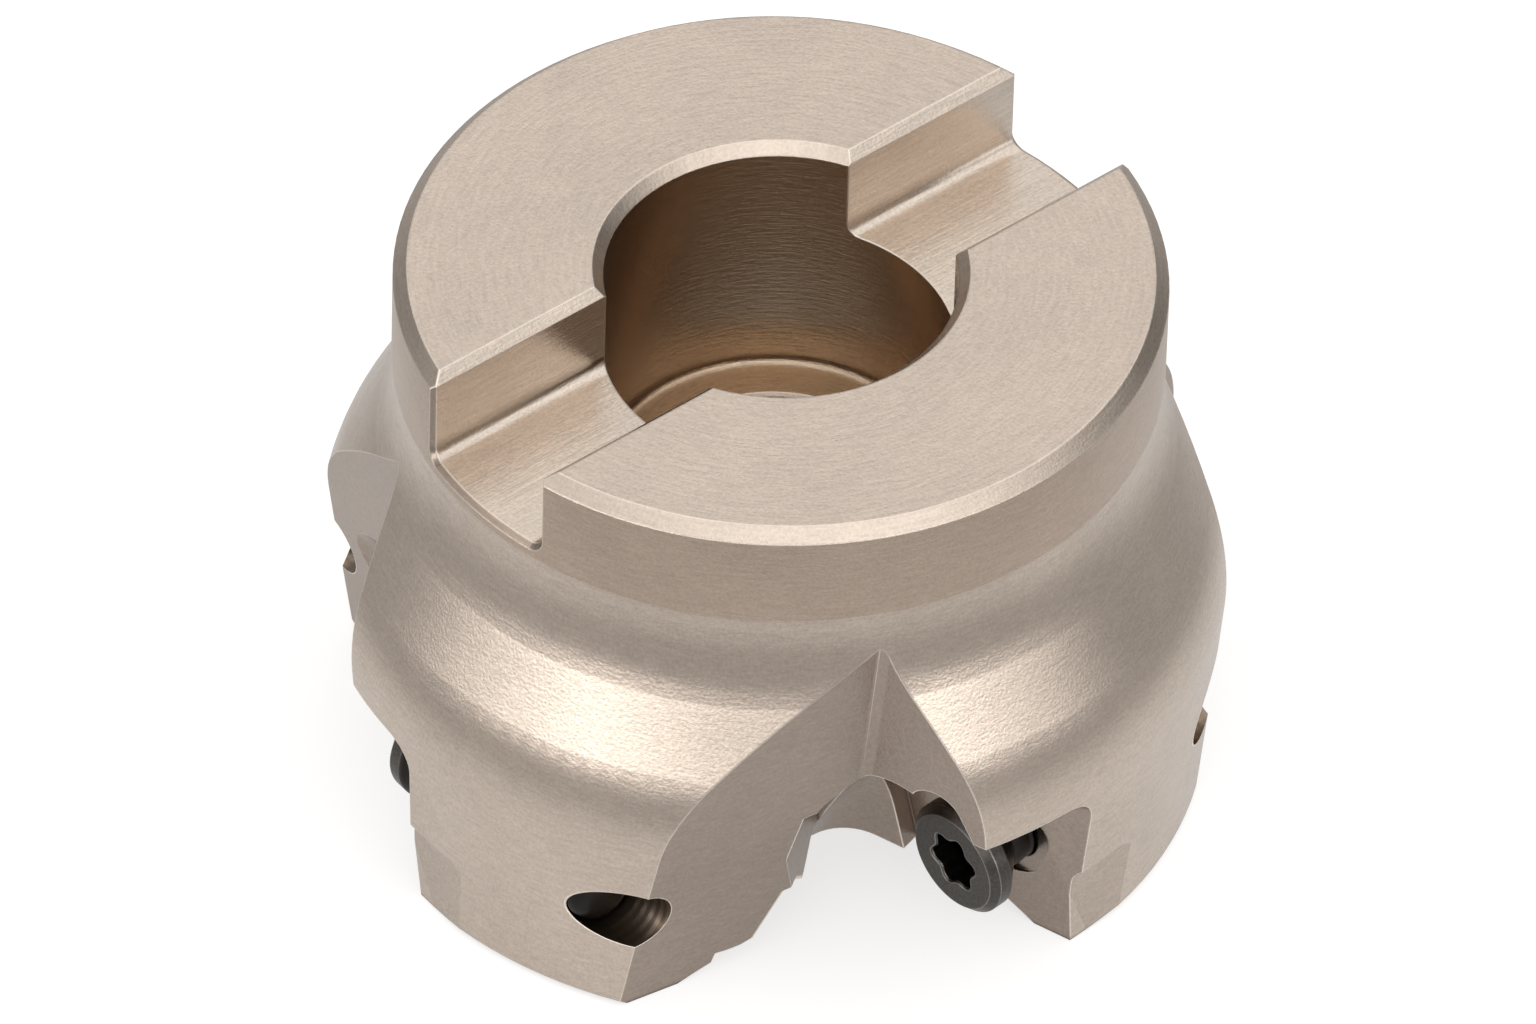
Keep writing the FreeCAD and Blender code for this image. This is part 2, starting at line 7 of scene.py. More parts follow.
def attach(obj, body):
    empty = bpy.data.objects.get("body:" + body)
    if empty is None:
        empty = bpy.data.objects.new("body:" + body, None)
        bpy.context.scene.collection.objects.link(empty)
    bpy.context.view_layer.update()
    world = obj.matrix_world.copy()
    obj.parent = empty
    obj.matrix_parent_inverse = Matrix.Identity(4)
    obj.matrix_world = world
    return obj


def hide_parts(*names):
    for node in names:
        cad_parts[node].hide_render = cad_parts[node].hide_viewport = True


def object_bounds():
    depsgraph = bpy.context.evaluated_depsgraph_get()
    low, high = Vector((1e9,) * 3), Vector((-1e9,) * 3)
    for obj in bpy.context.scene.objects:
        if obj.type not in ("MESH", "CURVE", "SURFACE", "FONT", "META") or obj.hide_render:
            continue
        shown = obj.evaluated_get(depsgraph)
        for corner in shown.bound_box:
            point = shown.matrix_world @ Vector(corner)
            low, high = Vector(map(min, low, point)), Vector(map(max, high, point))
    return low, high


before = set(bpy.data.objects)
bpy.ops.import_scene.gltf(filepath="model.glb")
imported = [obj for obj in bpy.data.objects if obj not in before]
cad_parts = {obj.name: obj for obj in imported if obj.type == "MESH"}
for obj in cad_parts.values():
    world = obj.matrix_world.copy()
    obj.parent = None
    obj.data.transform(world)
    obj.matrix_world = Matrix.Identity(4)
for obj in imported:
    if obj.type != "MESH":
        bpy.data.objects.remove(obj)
CAD_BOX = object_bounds()

MM = 0.001
WHITE = (1.0, 1.0, 1.0, 1.0)
HALF_TURN = 180.0

# Sizes of the cutter body that tell its surfaces apart
TOP = CAD_BOX[1].z
BORE_RADIUS = 11.0 * MM
BORE_CHAMFER = 0.7 * MM
BORE_FLOOR = TOP - 18.1 * MM
PASSAGE_RADIUS = 7.9 * MM
SLOT_HALF_WIDTH = 5.2 * MM
SLOT_FLOOR = TOP - 6.4 * MM
SLOT_CHAMFER = 0.6 * MM
HUB_FOOT = TOP - 7.3 * MM
HUB_CHAMFER = 0.85 * MM
TURNED_MIN_RADIUS = 22.5 * MM
RIM_MIN_RADIUS = 25.0 * MM
UNDERSIDE_HEIGHT = 4.0 * MM
HOLE_RADIUS = 2.36 * MM
NEAR = 0.06 * MM

# Parts of a facet's unit normal that tell surfaces apart: up, along the slot, along a screw hole,
# round the cutter's axis, and out from that axis on turned, skirt and rim surfaces
FACE_UP = 0.99
SLOT_WALL_ALONG = 0.02
HOLE_WALL_ALONG = 0.1
TURNED_ROUND = 0.05
TURNED_OUT = -0.02
SKIRT_OUT = 0.1
RIM_OUT = 0.9

# The photograph's view, with its pixels in the full picture
PHOTO_WIDTH = 1536
PHOTO_HEIGHT = 1024
PIXELS_PER_MM = 16.204
FACE_CENTRE_PIXEL = (781.4, 268.0)
VIEW_ELEVATION = math.radians(43.4)
VIEW_AZIMUTH = math.radians(40.5)
VIEW_ROLL = math.radians(1.7)
VIEW_DISTANCE = 1.4
NEAREST_SEEN = 0.05
SENSOR_WIDTH = 36.0

# The curve between a colour on the screen and the light that shaders reckon with
SCREEN_KNEE = 0.04045
SCREEN_SLOPE = 12.92
SCREEN_OFFSET = 0.055
SCREEN_POWER = 2.4


def srgb(red, green, blue):
    """A colour as the eye reads it, turned into the linear values that shaders take."""
    def linear(value):
        if value <= SCREEN_KNEE:
            return value / SCREEN_SLOPE
        return ((value + SCREEN_OFFSET) / (1.0 + SCREEN_OFFSET)) ** SCREEN_POWER
    return (linear(red), linear(green), linear(blue), 1.0)


# The look of each kind of machined surface: its colour, the way its tool marks run, how deep they are
# in mm, how many there are in a mm and how far they stretch, how rough the metal is and how high its
# grain in mm
SURFACES = {
    "spindle_face": {"colour": (0.83, 0.775, 0.725), "marks": "rings", "depth": 0.016, "pitch": 3.6,
                     "stretch": 0.10, "rough": 0.33, "grain": 0.018},
    # The hub wall's colour is the metal's tone darkened as painted shade
    "hub_wall": {"colour": (0.77, 0.70, 0.64), "marks": "rings", "depth": 0.012, "pitch": 3.6,
                 "stretch": 0.15, "rough": 0.31, "grain": 0.018},
    "turned_flare": {"colour": (0.81, 0.755, 0.705), "marks": "rings", "depth": 0.005, "pitch": 3.6,
                     "stretch": 0.25, "rough": 0.25, "grain": 0.015},
    # The corner flats' colour is the metal's tone darkened as painted shade
    "corner_flat": {"colour": (0.765, 0.71, 0.66), "marks": "length", "depth": 0.0, "pitch": 3.0,
                    "stretch": 0.3, "rough": 0.26, "grain": 0.014},
    # The bore wall's colour is the metal's tone darkened as painted shade
    "bore_wall": {"colour": (0.73, 0.65, 0.565), "marks": "hoops", "depth": 0.030, "pitch": 4.0,
                  "stretch": 0.08, "rough": 0.26, "grain": 0.010},
    "drive_slot": {"colour": (0.85, 0.80, 0.75), "marks": "length", "depth": 0.022, "pitch": 4.2,
                   "stretch": 0.08, "rough": 0.27, "grain": 0.015},
    # The gullets' colour is the metal's tone darkened as painted shade
    "milled_gullet": {"colour": (0.66, 0.605, 0.56), "marks": "length", "depth": 0.0, "pitch": 3.0,
                      "stretch": 0.3, "rough": 0.27, "grain": 0.014},
}

# Noise stands for tool marks, for the metal's grain and for wide clouds in its colour. A pitch is the
# number of waves in a mm. Each share says how far that noise shifts the colour towards its deep tone.
MARK_DETAIL = 4.0
MARK_ROUGHNESS = 0.65
MARK_WANDER = 0.3
MARK_SHARE = (-0.24, 0.24)
GRAIN_PITCH = 5.0
GRAIN_DETAIL = 3.0
GRAIN_ROUGHNESS = 0.6
GRAIN_SHARE = (-0.30, 0.30)
CLOUD_PITCH = 0.13
CLOUD_DETAIL = 3.0
CLOUD_ROUGHNESS = 0.5
CLOUD_SHARE = (0.38, 0.58)
FINE_NOISE = (0.3, 0.7)
WIDE_NOISE = (0.35, 0.65)
PALE_TONE = 1.05
DEEP_TONE = 0.91
MEAN_RADIUS = 20.0

# Edges, rounded a little and painted pale as a painted highlight. They are found where the eased
# direction of the surface leaves the true one, on ground that is open. Corners between surfaces get
# painted shade, darker where less is open.
EDGE_RADIUS = 0.20 * MM
EDGE_SAMPLES = 8
EDGE_BEND = (0.985, 0.88)
EDGE_PAINTED_HIGHLIGHT = srgb(1.0, 0.965, 0.92)
EDGE_ROUGHNESS = 0.5
CORNER_REACH = 0.45 * MM
CORNER_SAMPLES = 6
# Painted shade for hemmed-in corners
CORNER_PAINTED_SHADE = srgb(0.33, 0.275, 0.23)
CORNER_SHADE_OPENNESS = (0.35, 0.85)
OPEN_GROUND = (0.80, 0.95)
RISING = (0.0, 1.0)
FALLING = (1.0, 0.0)

# Threads of the screws and their holes, with the pitch in mm
THREAD_PITCH = 0.7
FLANK_SHARE = 0.5
HOLE_THREAD_DEPTH = 0.027 * MM
HOLE_COLOUR = srgb(0.60, 0.535, 0.475)
HOLE_ROUGHNESS = 0.32

# The black finish of the screws, worn on the head, which ends at its rim, in mm from the head's face
SCREW_GRAIN = 0.008 * MM
SCREW_GRAIN_DETAIL = 4.0
SCREW_GRAIN_ROUGHNESS = 0.65
SCREW_ROUGHNESS = 0.33
HEAD_DARK = srgb(0.28, 0.27, 0.262)
HEAD_PALE = srgb(0.37, 0.355, 0.342)
# Painted highlight on the edges of the head
HEAD_EDGE_HIGHLIGHT = srgb(0.74, 0.72, 0.70)
HEAD_RIM = (1.3, 1.6)
SHANK_BLACK = srgb(0.19, 0.18, 0.175)
# Painted shade in the socket and wherever the screw is hemmed in
SOCKET_PAINTED_SHADE = srgb(0.10, 0.095, 0.09)
SOCKET_SHADE_OPENNESS = (0.25, 0.75)

# A screw along its axis from the face of its head, in mm
HEAD_RADIUS = 3.85
HEAD_BEVEL = 0.5
HEAD_SIDE_ENDS = 1.4
HEAD_CONE_ENDS = 3.1
SHANK_RADIUS = 2.3
THREAD_STARTS = 4.2
THREAD_ENDS = 16.9
THREAD_ROOT = 0.36
THREAD_RUN_OUT = 0.8
END_ROUND = 1.1
SCREW_LENGTH = 18.2
SOCKET_DEPTH = 2.0
SOCKET_POINT = 0.4
SOCKET_RADIUS = 1.74
SOCKET_WAVE = 0.22
SOCKET_BEVEL = 0.12
LOBES = 6
RINGS_PER_PITCH = 7
END_RINGS = 6
SEGMENTS = 96
SHARP_ANGLE = math.radians(30.0)
HEAD_FACING = 0.97

# The studio's light, over all directions seen from the object. Turn is measured from the viewer's
# side, positive to the right, and elevation from the horizon, both in degrees.
WALL_LIGHT = 0.30
CEILING_LIGHT = 0.86
CEILING_EDGE = (20.0, 47.0)
LIGHT_COLOUR = (1.0, 0.985, 0.965, 1.0)
# Each soft panel: turn, elevation, spread sideways, spread in height, and strength, below 0 for a
# dark panel
PANELS = [
    (-78.0, 5.0, 20.0, 9.0, 1.5),
    (-46.0, 12.0, 23.0, 7.5, 3.7),
    (-8.0, 15.0, 24.0, 7.0, 1.9),
    (40.0, 12.0, 21.0, 7.5, 3.5),
    (70.0, 6.0, 14.0, 8.0, 1.3),
    (50.0, 38.0, 30.0, 14.0, 0.6),
    (0.0, 47.0, 34.0, 9.0, 0.8),
    (130.0, 8.0, 26.0, 14.0, -0.24),
    (-125.0, 8.0, 22.0, 12.0, -0.12),
]

# The floor, and how much it shines of itself: towards the camera, and in the metal near the object
FLOOR_HALF_WIDTH = 1.2
FLOOR_GAP = 0.02 * MM
FLOOR_COLOUR = (0.45, 0.45, 0.45, 1.0)
FLOOR_GLOW = 0.68
FLOOR_SHEEN = 0.40
SHEEN_FADES = (34.0 * MM, 85.0 * MM)


class Nodes:
    """A node tree, with short calls for the nodes that materials and light share."""

    def __init__(self, tree):
        self.tree = tree
        self.tree.nodes.clear()

    def add(self, kind):
        return self.tree.nodes.new(kind)

    def feed(self, socket, value):
        """Links the socket to a node's output, or sets it to a plain value."""
        if isinstance(value, bpy.types.NodeSocket):
            self.tree.links.new(value, socket)
        else:
            socket.default_value = value

    def operate(self, kind, operation, values):
        node = self.add(kind)
        node.operation = operation
        for socket, value in zip(node.inputs, values):
            self.feed(socket, value)
        return node

    def math(self, operation, *values):
        return self.operate("ShaderNodeMath", operation, values).outputs["Value"]

    def measure(self, operation, *vectors):
        """The number that an operation on vectors gives, such as a length."""
        return self.operate("ShaderNodeVectorMath", operation, vectors).outputs["Value"]

    def remap(self, value, old, new, interpolation="LINEAR"):
        """Carries a value from one range to another, and keeps it in the new one."""
        node = self.add("ShaderNodeMapRange")
        node.interpolation_type = interpolation
        self.feed(node.inputs["Value"], value)
        node.inputs["From Min"].default_value = old[0]
        node.inputs["From Max"].default_value = old[1]
        node.inputs["To Min"].default_value = new[0]
        node.inputs["To Max"].default_value = new[1]
        return node.outputs["Result"]


class Finish(Nodes):
    """A material, with its coordinates in mm in the row frame."""

    def __init__(self, name):
        self.material = bpy.data.materials.new(name)
        self.material.use_nodes = True
        super().__init__(self.material.node_tree)
        output = self.add("ShaderNodeOutputMaterial")
        self.shader = self.add("ShaderNodeBsdfPrincipled")
        self.feed(output.inputs["Surface"], self.shader.outputs["BSDF"])
        coordinates = self.add("ShaderNodeTexCoord")
        to_mm = self.operate("ShaderNodeVectorMath", "SCALE", (coordinates.outputs["Object"],))
        to_mm.inputs["Scale"].default_value = 1 / MM
        self.place = to_mm.outputs["Vector"]

    def split(self):
        """The three coordinates of the place."""
        node = self.add("ShaderNodeSeparateXYZ")
        self.feed(node.inputs["Vector"], self.place)
        return node.outputs["X"], node.outputs["Y"], node.outputs["Z"]

    def join(self, *values):
        node = self.add("ShaderNodeCombineXYZ")
        for socket, value in zip(node.inputs, values):
            self.feed(socket, value)
        return node.outputs["Vector"]

    def noise(self, vector, pitch, detail, roughness, wander=0.0):
        node = self.add("ShaderNodeTexNoise")
        self.feed(node.inputs["Vector"], vector)
        node.inputs["Scale"].default_value = pitch
        node.inputs["Detail"].default_value = detail
        node.inputs["Roughness"].default_value = roughness
        node.inputs["Distortion"].default_value = wander
        return node.outputs["Fac"]

    def blend(self, share, first, second):
        """The first colour where the share is 0, and the second where it is 1."""
        node = self.add("ShaderNodeMix")
        node.data_type = "RGBA"
        self.feed(node.inputs["Factor"], share)
        self.feed(node.inputs["A"], first)
        self.feed(node.inputs["B"], second)
        return node.outputs["Result"]

    def along_marks(self, marks, stretch):
        """Coordinates in which tool marks are drawn out along the tool's way: in rings round the
        cutter's axis, in hoops inside a bore, or along the length of the slot."""
        x, y, z = self.split()
        if marks == "length":
            return self.join(self.math("MULTIPLY", x, stretch), y, z)
        radius = self.math("SQRT", self.math("ADD", self.math("MULTIPLY", x, x),
                                             self.math("MULTIPLY", y, y)))
        way_round = self.math("MULTIPLY", self.math("ARCTAN2", y, x), MEAN_RADIUS)
        if marks == "rings":
            across = self.math("SUBTRACT", radius, z)
        else:
            across = self.math("ADD", z, radius)
        return self.join(across, self.math("MULTIPLY", way_round, stretch), 0.0)

    def along_axis(self, origin, axis):
        """Distance in mm along a line that is given in metres."""
        start = tuple(value / MM for value in origin)
        offset = self.operate("ShaderNodeVectorMath", "SUBTRACT", (self.place, start))
        return self.measure("DOT_PRODUCT", offset.outputs["Vector"], tuple(axis))

    def bump(self, height, depth, normal=None):
        """The surface's direction with a relief on it, over an earlier relief if one is given."""
        node = self.add("ShaderNodeBump")
        node.inputs["Strength"].default_value = 1.0
        node.inputs["Distance"].default_value = depth
        self.feed(node.inputs["Height"], height)
        if normal is not None:
            self.feed(node.inputs["Normal"], normal)
        return node.outputs["Normal"]

    def openness(self):
        """How open the place is: 1 on open ground, less inside a corner."""
        node = self.add("ShaderNodeAmbientOcclusion")
        node.samples = CORNER_SAMPLES
        node.inputs["Distance"].default_value = CORNER_REACH
        return node.outputs["AO"]

    def soft_edge(self, openness):
        """The surface's direction, eased round its sharp edges, and how near an outer edge is."""
        node = self.add("ShaderNodeBevel")
        node.samples = EDGE_SAMPLES
        node.inputs["Radius"].default_value = EDGE_RADIUS
        eased = node.outputs["Normal"]
        true = self.add("ShaderNodeNewGeometry").outputs["Normal"]
        bent = self.remap(self.measure("DOT_PRODUCT", eased, true), EDGE_BEND, RISING)
        return eased, self.math("MULTIPLY", bent, self.remap(openness, OPEN_GROUND, RISING))

    def metal(self, colour, roughness, normal):
        """Makes the material a metal of this look, and returns it."""
        self.feed(self.shader.inputs["Base Color"], colour)
        self.feed(self.shader.inputs["Roughness"], roughness)
        self.feed(self.shader.inputs["Normal"], normal)
        self.shader.inputs["Metallic"].default_value = 1.0
        return self.material


def machined_steel(name, colour, marks, depth, pitch, stretch, rough, grain):
    """Nickel-coloured steel with the fine marks of the tool that cut the surface."""
    finish = Finish(name)
    lines = finish.noise(finish.along_marks(marks, stretch), pitch, MARK_DETAIL, MARK_ROUGHNESS,
                         MARK_WANDER)
    fine = finish.noise(finish.place, GRAIN_PITCH, GRAIN_DETAIL, GRAIN_ROUGHNESS)
    cloud = finish.noise(finish.place, CLOUD_PITCH, CLOUD_DETAIL, CLOUD_ROUGHNESS)
    openness = finish.openness()
    normal, edge = finish.soft_edge(openness)
    if depth:
        normal = finish.bump(lines, depth * MM, normal)
    normal = finish.bump(fine, grain * MM, normal)
    pale = srgb(*(min(1.0, value * PALE_TONE) for value in colour))
    deep = srgb(*(value * DEEP_TONE for value in colour))
    share = finish.math("ADD", finish.remap(cloud, WIDE_NOISE, CLOUD_SHARE),
                        finish.math("ADD", finish.remap(lines, FINE_NOISE, MARK_SHARE),
                                    finish.remap(fine, FINE_NOISE, GRAIN_SHARE)))
    tone = finish.blend(share, pale, deep)
    # Painted shade: corners and creases darkened towards a dark brown where the ground is hemmed in
    tone = finish.blend(finish.remap(openness, CORNER_SHADE_OPENNESS, FALLING), tone, CORNER_PAINTED_SHADE)
    # Painted highlight: outer edges paled towards cream, with rougher metal there
    return finish.metal(finish.blend(edge, tone, EDGE_PAINTED_HIGHLIGHT),
                        finish.remap(edge, RISING, (rough, EDGE_ROUGHNESS)), normal)


def tapped_steel(name, origin, axis):
    """The wall of a threaded hole, with flanks that rise and fall once every pitch."""
    finish = Finish(name)
    turns = finish.math("DIVIDE", finish.along_axis(origin, axis), THREAD_PITCH)
    flanks = finish.math("PINGPONG", turns, FLANK_SHARE)
    return finish.metal(HOLE_COLOUR, HOLE_ROUGHNESS, finish.bump(flanks, HOLE_THREAD_DEPTH))


def black_oxide(name, origin, axis):
    """Dark oiled steel of a screw, with a painted highlight on the edges of its head and painted
    shade in its socket.
    """
    finish = Finish(name)
    fine = finish.noise(finish.place, GRAIN_PITCH, SCREW_GRAIN_DETAIL, SCREW_GRAIN_ROUGHNESS)
    openness = finish.openness()
    normal, edge = finish.soft_edge(openness)
    normal = finish.bump(fine, SCREW_GRAIN, normal)
    wear_and_edge_highlight = finish.blend(finish.remap(fine, FINE_NOISE, RISING), HEAD_DARK, HEAD_PALE)
    # Painted highlight: the head's edges paled towards light grey
    wear_and_edge_highlight = finish.blend(edge, wear_and_edge_highlight, HEAD_EDGE_HIGHLIGHT)
    behind_head = finish.remap(finish.along_axis(origin, axis), HEAD_RIM, RISING)
    tone = finish.blend(behind_head, wear_and_edge_highlight, SHANK_BLACK)
    # Painted shade: the socket and other hemmed-in places darkened towards near black
    socket_painted_shade = finish.remap(openness, SOCKET_SHADE_OPENNESS, FALLING)
    return finish.metal(finish.blend(socket_painted_shade, tone, SOCKET_PAINTED_SHADE), SCREW_ROUGHNESS, normal)


def screw_line(mesh):
    """Middle of a screw's head face and the direction of its axis, from its CAD mesh."""
    points = [vertex.co for vertex in mesh.vertices]
    middle = sum(points, Vector()) / len(points)
    far = max(points, key=lambda point: (point - middle).length_squared)
    rough_axis = (far - middle).normalized()
    facing = [facet for facet in mesh.polygons if facet.normal.dot(rough_axis) < -HEAD_FACING]
    axis = -sum((facet.normal * facet.area for facet in facing), Vector()).normalized()
    centre = axis * min(point.dot(axis) for point in points)
    side = axis.orthogonal().normalized()
    for direction in (side, axis.cross(side)):
        reach = [point.dot(direction) for point in points]
        centre += direction * (min(reach) + max(reach)) / 2
    return centre, axis


def screw_outline(angle):
    """Place along the axis and radius of each ring of a screw, at one angle round its axis: from the
    floor of the socket, over the head and along the thread, to the rounded end."""
    socket = SOCKET_RADIUS + SOCKET_WAVE * math.cos(LOBES * angle)
    outline = [
        (SOCKET_DEPTH, socket),
        (SOCKET_BEVEL, socket),
        (0.0, socket + SOCKET_BEVEL),
        (0.0, HEAD_RADIUS - HEAD_BEVEL),
        (HEAD_BEVEL, HEAD_RADIUS),
        (HEAD_SIDE_ENDS, HEAD_RADIUS),
        (HEAD_CONE_ENDS, SHANK_RADIUS),
    ]
    threaded = THREAD_ENDS - THREAD_STARTS
    steps = round(threaded / THREAD_PITCH * RINGS_PER_PITCH)
    for step in range(steps + 1):
        along = THREAD_STARTS + threaded * step / steps
        run_out = min(along - THREAD_STARTS, THREAD_ENDS - along) / THREAD_RUN_OUT
        depth = THREAD_ROOT * max(0.0, min(1.0, run_out))
        turn = (along / THREAD_PITCH - angle / math.tau) % 1.0
        outline.append((along, SHANK_RADIUS - depth * abs(2 * turn - 1)))
    for step in range(END_RINGS + 1):
        bend = math.pi / 2 * step / END_RINGS
        outline.append((SCREW_LENGTH - END_ROUND * (1 - math.sin(bend)),
                        SHANK_RADIUS - END_ROUND * (1 - math.cos(bend))))
    return outline


def screw_mesh(name, origin, axis):
    """A closed screw, with its rings joined by four-sided faces and each end by a fan."""
    side = axis.orthogonal().normalized()
    other = axis.cross(side)
    angles = [math.tau * segment / SEGMENTS for segment in range(SEGMENTS)]
    outlines = [screw_outline(angle) for angle in angles]
    outward = [math.cos(angle) * side + math.sin(angle) * other for angle in angles]
    points = []
    for ring in zip(*outlines):
        for (along, radius), direction in zip(ring, outward):
            points.append(origin + (along * axis + radius * direction) * MM)
    last = len(points) - SEGMENTS
    socket_point = len(points)
    end_point = socket_point + 1
    points.append(origin + (SOCKET_DEPTH + SOCKET_POINT) * axis * MM)
    points.append(origin + SCREW_LENGTH * axis * MM)
    faces = []
    for here in range(0, last, SEGMENTS):
        beyond = here + SEGMENTS
        for segment in range(SEGMENTS):
            after = (segment + 1) % SEGMENTS
            faces.append((here + segment, here + after, beyond + after, beyond + segment))
    for segment in range(SEGMENTS):
        after = (segment + 1) % SEGMENTS
        faces.append((socket_point, after, segment))
        faces.append((end_point, last + segment, last + after))
    mesh = bpy.data.meshes.new(name)
    mesh.from_pydata(points, [], faces)
    mesh.shade_smooth()
    mesh.set_sharp_from_angle(angle=SHARP_ANGLE)
    return mesh


def make_screw(number, node, origin, axis):
    """A screw with its real thread and socket, in the place of the plain one."""
    mesh = screw_mesh(f"threaded_screw_{number}", origin, axis)
    mesh.materials.append(black_oxide(f"black_oxide_{number}", origin, axis))
    screw = bpy.data.objects.new(f"threaded_screw_{number}", mesh)
    bpy.context.scene.collection.objects.link(screw)
    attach(screw, "root")
    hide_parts(node)


def surface_of(centre, normal, screws):
    """Which kind of machined surface a facet of the cutter body belongs to."""
    radius = math.hypot(centre.x, centre.y)
    outward = (centre.x * normal.x + centre.y * normal.y) / max(radius, NEAR)
    sideways = (centre.x * normal.y - centre.y * normal.x) / max(radius, NEAR)
    if centre.z > TOP - NEAR and normal.z > FACE_UP:
        return "spindle_face"
    in_slot = abs(centre.y) < SLOT_HALF_WIDTH + SLOT_CHAMFER + NEAR and centre.z > SLOT_FLOOR - NEAR
    if in_slot and abs(normal.x) < SLOT_WALL_ALONG:
        return "drive_slot"
    if radius < BORE_RADIUS + BORE_CHAMFER + NEAR and centre.z > BORE_FLOOR - NEAR:
        return "bore_wall" if centre.z < TOP - BORE_CHAMFER else "spindle_face"
    if radius < PASSAGE_RADIUS + NEAR:
        return "bore_wall"
    for number, (origin, axis) in screws.items():
        offset = centre - origin
        away = (offset - axis * offset.dot(axis)).length
        if away < HOLE_RADIUS + NEAR and abs(normal.dot(axis)) < HOLE_WALL_ALONG:
            return f"tapped_hole_{number}"
    turned = radius > TURNED_MIN_RADIUS and abs(sideways) < TURNED_ROUND and outward > TURNED_OUT
    if turned and centre.z > HUB_FOOT - NEAR:
        return "hub_wall" if centre.z < TOP - HUB_CHAMFER else "spindle_face"
    if turned and (centre.z > UNDERSIDE_HEIGHT or outward > SKIRT_OUT):
        return "turned_flare"
    if radius > RIM_MIN_RADIUS and outward > RIM_OUT:
        return "corner_flat"
    return "milled_gullet"


def dress_parts():
    """Builds the screws, and gives each facet of the body the finish of the surface it belongs to."""
    screws = {}
    for name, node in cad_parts.items():
        if name.startswith("insert_screw"):
            number = name.rsplit("_", 1)[1]
            screws[number] = screw_line(node.data)
            make_screw(number, name, *screws[number])
    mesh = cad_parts["cutter_body"].data
    mesh.materials.clear()
    places = {}
    for name, look in SURFACES.items():
        places[name] = len(places)
        mesh.materials.append(machined_steel(name, **look))
    for number, (origin, axis) in screws.items():
        name = f"tapped_hole_{number}"
        places[name] = len(places)
        mesh.materials.append(tapped_steel(name, origin, axis))
    for facet in mesh.polygons:
        facet.material_index = places[surface_of(facet.center, facet.normal, screws)]


def view_axes():
    """The camera's right, up and forward directions in the row frame."""
    right = Vector((math.cos(VIEW_AZIMUTH), -math.sin(VIEW_AZIMUTH), 0.0))
    away = Vector((math.sin(VIEW_AZIMUTH), math.cos(VIEW_AZIMUTH), 0.0))
    upright = Vector((0.0, 0.0, 1.0))
    forward = math.cos(VIEW_ELEVATION) * away - math.sin(VIEW_ELEVATION) * upright
    up = math.sin(VIEW_ELEVATION) * away + math.cos(VIEW_ELEVATION) * upright
    rolled_right = math.cos(VIEW_ROLL) * right + math.sin(VIEW_ROLL) * up
    rolled_up = math.cos(VIEW_ROLL) * up - math.sin(VIEW_ROLL) * right
    return rolled_right, rolled_up, forward


def make_camera():
    """The camera, aimed so that the middle of the spindle face falls on its place in the photo."""
    right, up, forward = view_axes()
    metres_per_pixel = MM / PIXELS_PER_MM
    across = (PHOTO_WIDTH / 2 - FACE_CENTRE_PIXEL[0]) * metres_per_pixel
    down = (PHOTO_HEIGHT / 2 - FACE_CENTRE_PIXEL[1]) * metres_per_pixel
    aim = Vector((0.0, 0.0, TOP)) + across * right - down * up
    stand = aim - VIEW_DISTANCE * forward
    data = bpy.data.cameras.new("photo_camera")
    data.sensor_width = SENSOR_WIDTH
    data.lens = SENSOR_WIDTH * VIEW_DISTANCE / (PHOTO_WIDTH * metres_per_pixel)
    data.clip_start = NEAREST_SEEN
    camera = bpy.data.objects.new("photo_camera", data)
    bpy.context.scene.collection.objects.link(camera)
    camera.matrix_world = Matrix((
        (right.x, up.x, -forward.x, stand.x),
        (right.y, up.y, -forward.y, stand.y),
        (right.z, up.z, -forward.z, stand.z),
        (0.0, 0.0, 0.0, 1.0),
    ))
    bpy.context.scene.camera = camera


def panel_light(sky, turn, elevation, panel):
    """Light of one panel: strongest at its middle, fading as a bell curve."""
    middle_turn, middle_elevation, wide, high, strength = panel
    aside = sky.math("WRAP", sky.math("SUBTRACT", turn, middle_turn), HALF_TURN, -HALF_TURN)
    aside = sky.math("DIVIDE", aside, wide)
    above = sky.math("DIVIDE", sky.math("SUBTRACT", elevation, middle_elevation), high)
    away = sky.math("ADD", sky.math("MULTIPLY", aside, aside), sky.math("MULTIPLY", above, above))
    return sky.math("MULTIPLY", sky.math("EXPONENT", sky.math("MULTIPLY", away, -1.0)), strength)


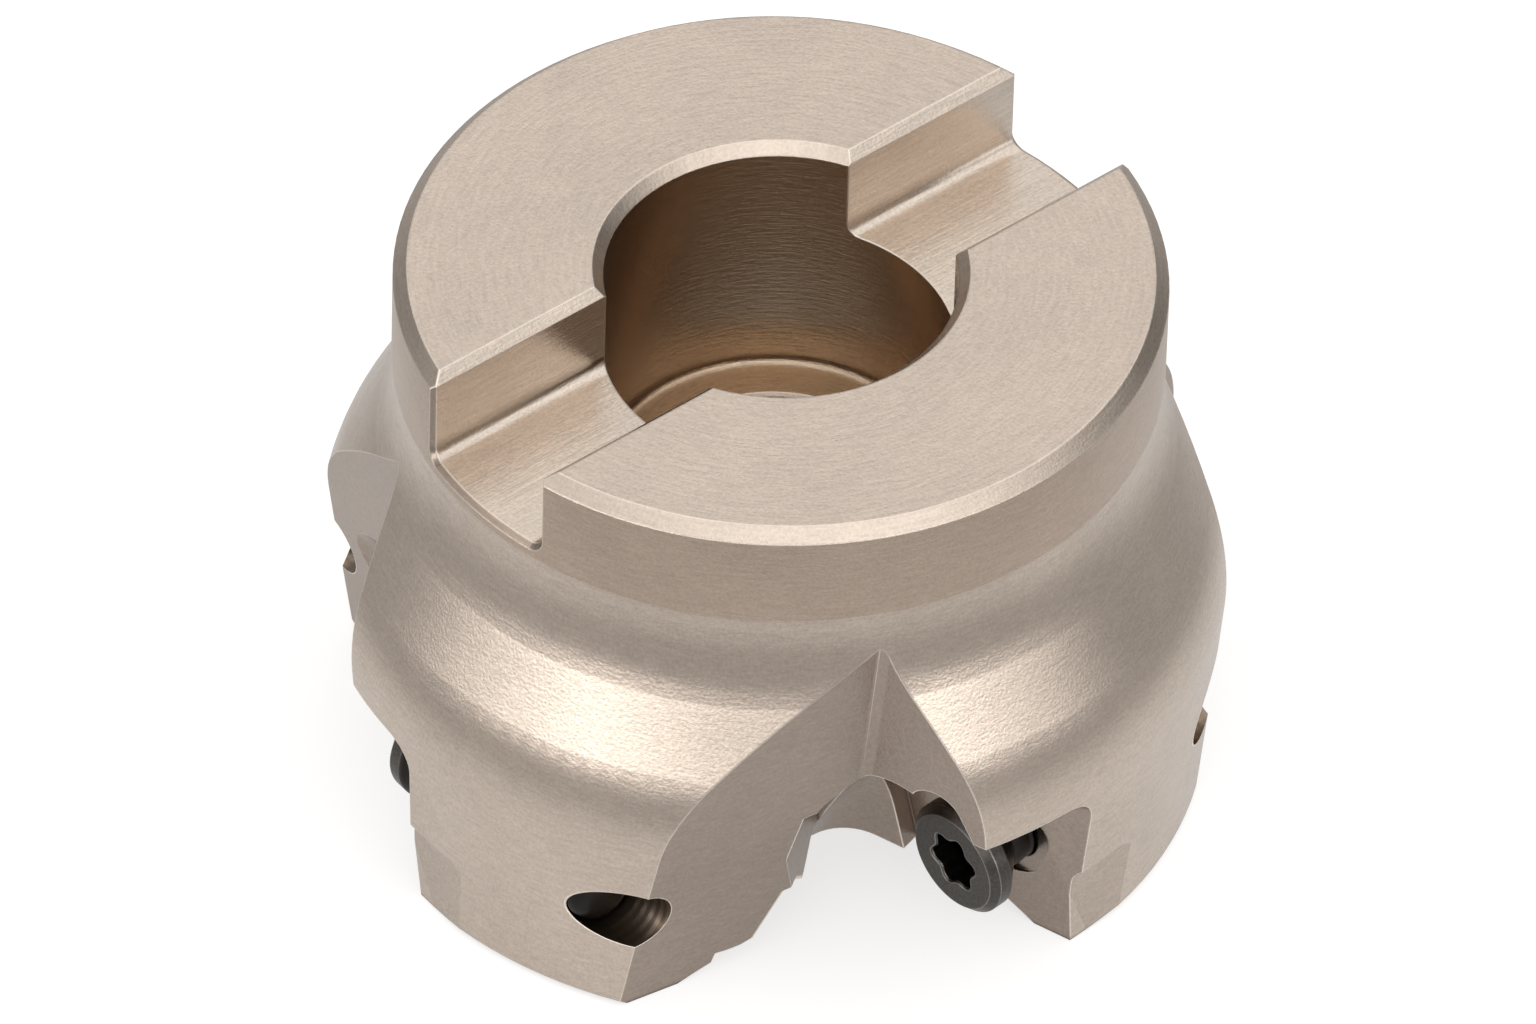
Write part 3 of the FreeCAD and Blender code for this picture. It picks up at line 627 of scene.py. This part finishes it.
def make_world():
    """Soft studio light, and plain white where the camera looks past the object."""
    world = bpy.data.worlds.new("studio")
    bpy.context.scene.world = world
    world.use_nodes = True
    sky = Nodes(world.node_tree)
    direction = sky.add("ShaderNodeTexCoord").outputs["Generated"]
    towards_viewer = (-math.sin(VIEW_AZIMUTH), -math.cos(VIEW_AZIMUTH), 0.0)
    to_the_right = (math.cos(VIEW_AZIMUTH), -math.sin(VIEW_AZIMUTH), 0.0)
    turn = sky.math("ARCTAN2", sky.measure("DOT_PRODUCT", direction, to_the_right),
                    sky.measure("DOT_PRODUCT", direction, towards_viewer))
    turn = sky.math("DEGREES", turn)
    height = sky.measure("DOT_PRODUCT", direction, (0.0, 0.0, 1.0))
    elevation = sky.math("DEGREES", sky.math("ARCSINE", height))
    ceiling = sky.remap(elevation, CEILING_EDGE, (0.0, CEILING_LIGHT), "SMOOTHSTEP")
    total = sky.math("ADD", ceiling, WALL_LIGHT)
    for panel in PANELS:
        total = sky.math("ADD", total, panel_light(sky, turn, elevation, panel))
    light = sky.add("ShaderNodeBackground")
    light.inputs["Color"].default_value = LIGHT_COLOUR
    sky.feed(light.inputs["Strength"], total)
    seen = sky.add("ShaderNodeBackground")
    seen.inputs["Color"].default_value = WHITE
    mix = sky.add("ShaderNodeMixShader")
    sky.feed(mix.inputs["Fac"], sky.add("ShaderNodeLightPath").outputs["Is Camera Ray"])
    sky.feed(mix.inputs[1], light.outputs["Background"])
    sky.feed(mix.inputs[2], seen.outputs["Background"])
    sky.feed(sky.add("ShaderNodeOutputWorld").inputs["Surface"], mix.outputs["Shader"])


def floor_paint():
    """Pale paint that glows towards the camera all over, and in the metal near the object."""
    material = bpy.data.materials.new("studio_floor")
    material.use_nodes = True
    floor = Nodes(material.node_tree)
    paint = floor.add("ShaderNodeBsdfDiffuse")
    paint.inputs["Color"].default_value = FLOOR_COLOUR
    place = floor.add("ShaderNodeTexCoord").outputs["Object"]
    sheen = floor.remap(floor.measure("LENGTH", place), SHEEN_FADES, (FLOOR_SHEEN, 0.0), "SMOOTHSTEP")
    rays = floor.add("ShaderNodeLightPath").outputs
    to_camera = floor.math("MULTIPLY", rays["Is Camera Ray"], FLOOR_GLOW)
    strength = floor.math("MULTIPLY_ADD", rays["Is Glossy Ray"], sheen, to_camera)
    glow = floor.add("ShaderNodeEmission")
    glow.inputs["Color"].default_value = WHITE
    floor.feed(glow.inputs["Strength"], strength)
    both = floor.add("ShaderNodeAddShader")
    floor.feed(both.inputs[0], paint.outputs["BSDF"])
    floor.feed(both.inputs[1], glow.outputs["Emission"])
    floor.feed(floor.add("ShaderNodeOutputMaterial").inputs["Surface"], both.outputs["Shader"])
    return material


def make_floor():
    """A pale floor that looks white and keeps the object's shadow."""
    mesh = bpy.data.meshes.new("studio_floor")
    corners = [(x * FLOOR_HALF_WIDTH, y * FLOOR_HALF_WIDTH, 0.0)
               for x, y in ((-1, -1), (1, -1), (1, 1), (-1, 1))]
    mesh.from_pydata(corners, [], [(0, 1, 2, 3)])
    mesh.materials.append(floor_paint())
    floor = bpy.data.objects.new("studio_floor", mesh)
    bpy.context.scene.collection.objects.link(floor)
    floor.location.z = CAD_BOX[0].z - FLOOR_GAP


dress_parts()
make_camera()
make_world()
make_floor()

bpy.context.scene.view_settings.view_transform = "Standard"
